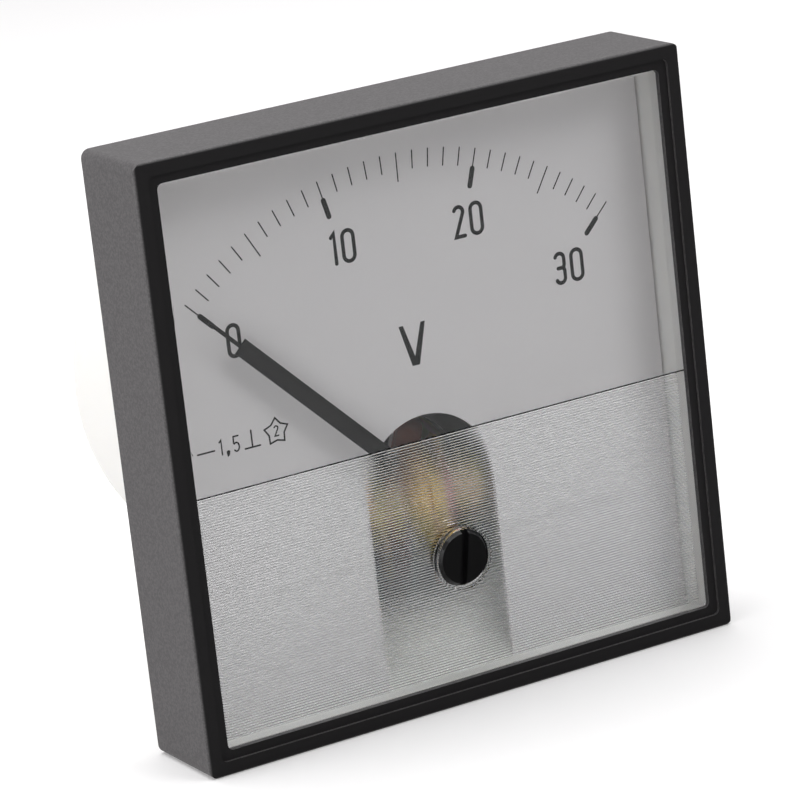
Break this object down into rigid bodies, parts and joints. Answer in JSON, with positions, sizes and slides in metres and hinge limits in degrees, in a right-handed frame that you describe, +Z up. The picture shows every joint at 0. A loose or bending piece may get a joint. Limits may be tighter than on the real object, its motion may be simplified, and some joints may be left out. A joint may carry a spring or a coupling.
{
  "type": "analog panel meter",
  "caption": "Square-front moving-coil panel meter with a black frame, a clear ribbed window, a swinging pointer, a zero adjuster and a round white rear case with studs and terminals.",
  "frame": {"origin": "middle of the square frame's rear face, on the barrel's axis, in the plane of the panel's front", "axes": "+Y back through the panel along the barrel, +Z up along the dial, +X to the right as seen from the front"},
  "size_m": [0.072, 0.058, 0.072],
  "materials": {
    "black_case": "satin moulded black thermoplastic, fine spark grain on the sides",
    "clear_window": "clear moulded polystyrene with fine ribs behind its lower half",
    "white_case": "pale translucent white moulded thermoplastic",
    "black_screw": "black moulded nylon",
    "dial_paint": "matt white painted aluminium sheet with black print",
    "pointer_paint": "matt black painted aluminium sheet",
    "brass": "turned, slightly dull",
    "steel": "bright zinc-plated or ground steel",
    "aluminium_foil": "plain thin sheet",
    "copper_wire": "enamelled copper wire, red-brown",
    "bronze_strip": "rolled phosphor bronze",
    "yellow_plate": "yellow-passivated zinc plate with faint green and pink tints",
    "magnet": "ground sintered magnet, dull grey",
    "zinc": "zinc die-casting",
    "black_frame": "black moulded thermoplastic",
    "jewel": "polished synthetic ruby",
    "resistor_body": "tan lacquer",
    "wire_sleeve": "red insulation"
  },
  "bodies": {
    "case": {"bezel": "black_case", "front_cover": "clear_window", "rear_case": "white_case", "mounting_studs": "steel", "dial_plate": "dial_paint", "rear_hairspring": "bronze_strip", "core_magnet": "magnet", "core_clamps": "zinc", "yoke_ring": "yellow_plate", "movement_frame": "black_frame", "front_bridge": "yellow_plate", "front_bridge_screws": "steel", "front_jewel_screw": "brass", "front_jewel": "jewel", "front_jewel_nut": "brass", "rear_bridge": "black_frame", "rear_jewel_screw": "brass", "rear_jewel": "jewel", "rear_jewel_nut": "brass", "rear_spring_tag": "brass", "movement_screws": "steel", "series_resistor": "resistor_body", "resistor_leads": "steel", "coil_wire": "wire_sleeve", "terminal_stud_left": "brass", "terminal_stud_right": "brass", "terminal_clamp_nuts": "brass", "terminal_washers": "steel", "terminal_nuts": "brass"},
    "moving_coil": {"pointer": "pointer_paint", "balance_weights": "brass", "front_spindle": "steel", "rear_spindle": "steel", "coil_former": "aluminium_foil", "coil_winding": "copper_wire"},
    "zero_lever": {"zero_lever": "yellow_plate", "front_hairspring": "bronze_strip"},
    "zero_screw": {"zero_screw": "black_screw"}
  },
  "joints": [
    {"name": "pointer_swing", "type": "hinge", "parent": "case", "child": "moving_coil", "pos_m": [0, 0.0083, -0.0117], "axis": [0, 1, 0], "range_deg": [-4, 94], "stiffness_Nm_per_rad": 0.00003},
    {"name": "zero_screw_turn", "type": "hinge", "parent": "case", "child": "zero_screw", "pos_m": [0, -0.0122, -0.0185], "axis": [0, 1, 0], "range_deg": [-45, 45]},
    {"name": "zero_lever_swing", "type": "hinge", "parent": "case", "child": "zero_lever", "pos_m": [0, -0.0029, -0.0117], "axis": [0, 1, 0], "range_deg": [-5.5, 5.5]}
  ],
  "couplings": [
    {"joint": "zero_lever_swing", "follows": "zero_screw_turn", "ratio": 0.11688}
  ]
}
